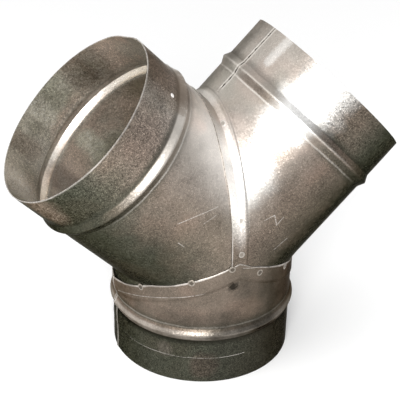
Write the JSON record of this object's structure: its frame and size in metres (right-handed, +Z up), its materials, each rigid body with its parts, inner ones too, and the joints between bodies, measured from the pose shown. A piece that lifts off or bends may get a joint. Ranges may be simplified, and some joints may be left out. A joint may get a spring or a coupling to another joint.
{
  "type": "duct y branch",
  "caption": "Galvanised sheet duct Y branch: an upright collar forks into equal leaning branches, each ending in a beaded spigot that slips inside round duct.",
  "frame": {"origin": "centre of the collar's rim, on the surface it stands on", "axes": "+Z up the collar's axis, the fork in the XZ plane, +X towards the right branch"},
  "size_m": [0.3402, 0.1652, 0.2871],
  "materials": {
    "galvanised_sheet": "hot-dip zinc with a fine spangle, satin, scratched"
  },
  "bodies": {
    "root": {"trunk_collar": "galvanised_sheet", "trunk_spigot": "galvanised_sheet", "left_branch": "galvanised_sheet", "left_spigot": "galvanised_sheet", "right_branch": "galvanised_sheet", "right_spigot": "galvanised_sheet"}
  },
  "joints": []
}
